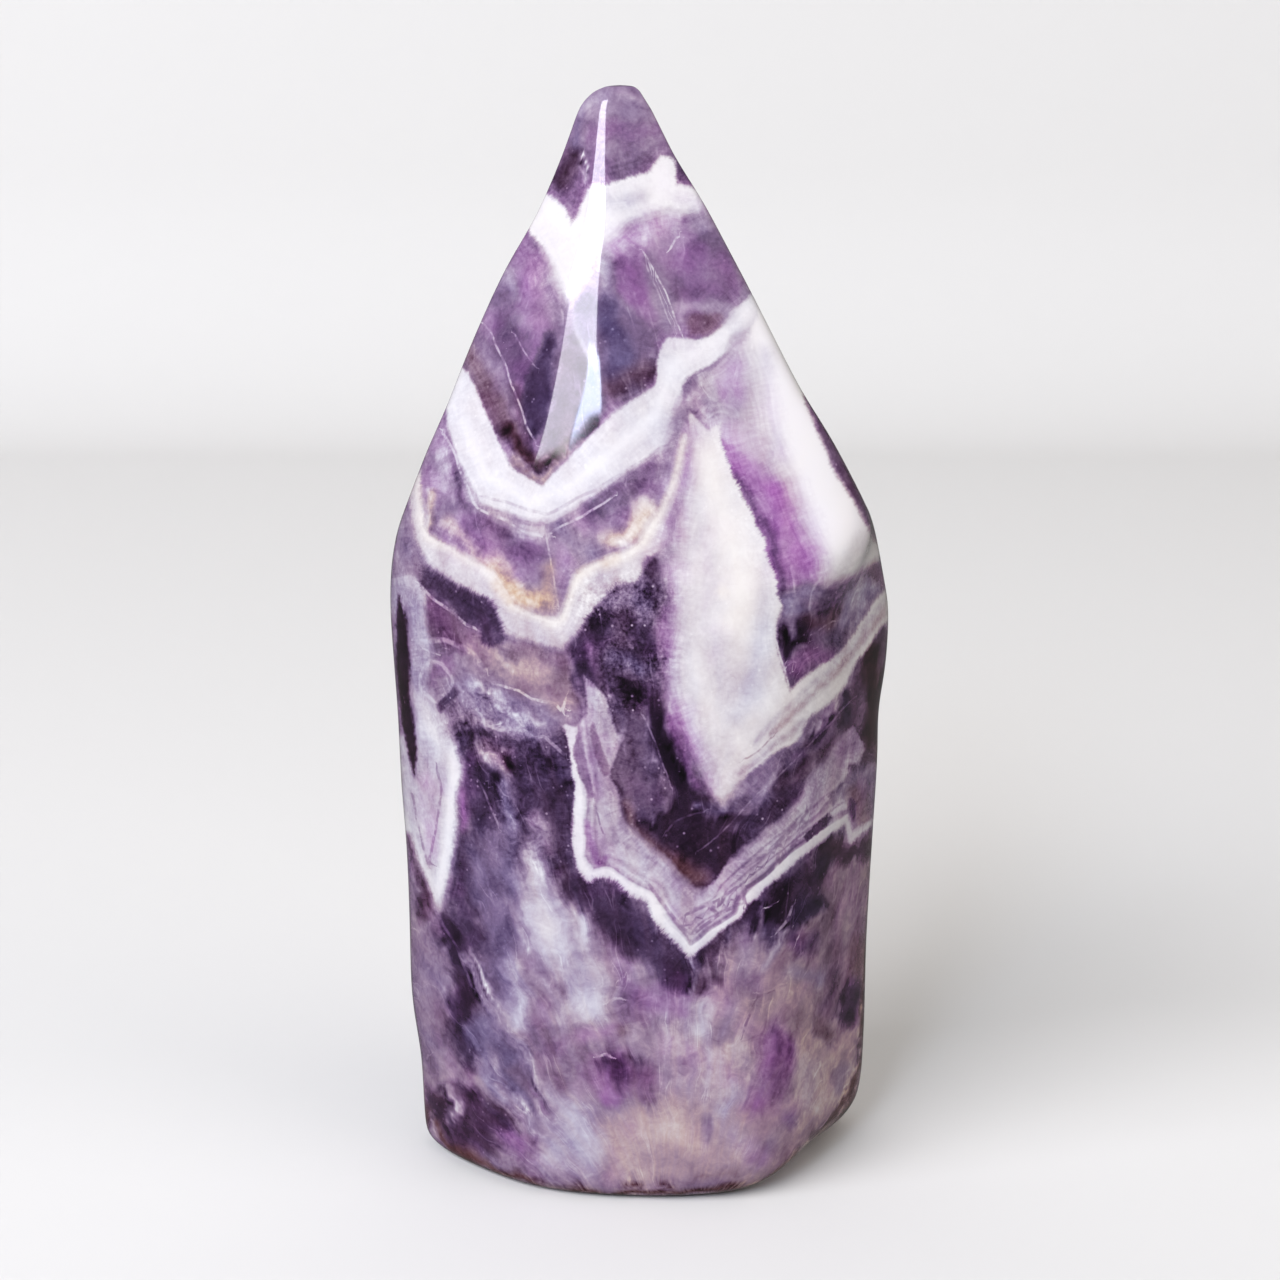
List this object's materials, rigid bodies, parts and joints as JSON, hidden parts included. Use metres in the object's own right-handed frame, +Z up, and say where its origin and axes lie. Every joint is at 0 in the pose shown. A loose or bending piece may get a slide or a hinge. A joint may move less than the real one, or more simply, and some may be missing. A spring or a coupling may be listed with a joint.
{
  "type": "polished chevron amethyst point",
  "caption": "Upright polished point of banded purple and white quartz, ground to a blunt tip and cut flat at the foot so that it stands alone.",
  "frame": {"origin": "middle of the flat foot, on the surface that the stone stands on", "axes": "+Z up to the tip, +X to the stone's right, and -Y towards the front face with the chevron bands"},
  "size_m": [0.0438, 0.0311, 0.095],
  "materials": {
    "polished_amethyst": "high polish, banded in purple and milky white"
  },
  "bodies": {
    "root": {"amethyst_point": "polished_amethyst"}
  },
  "joints": []
}
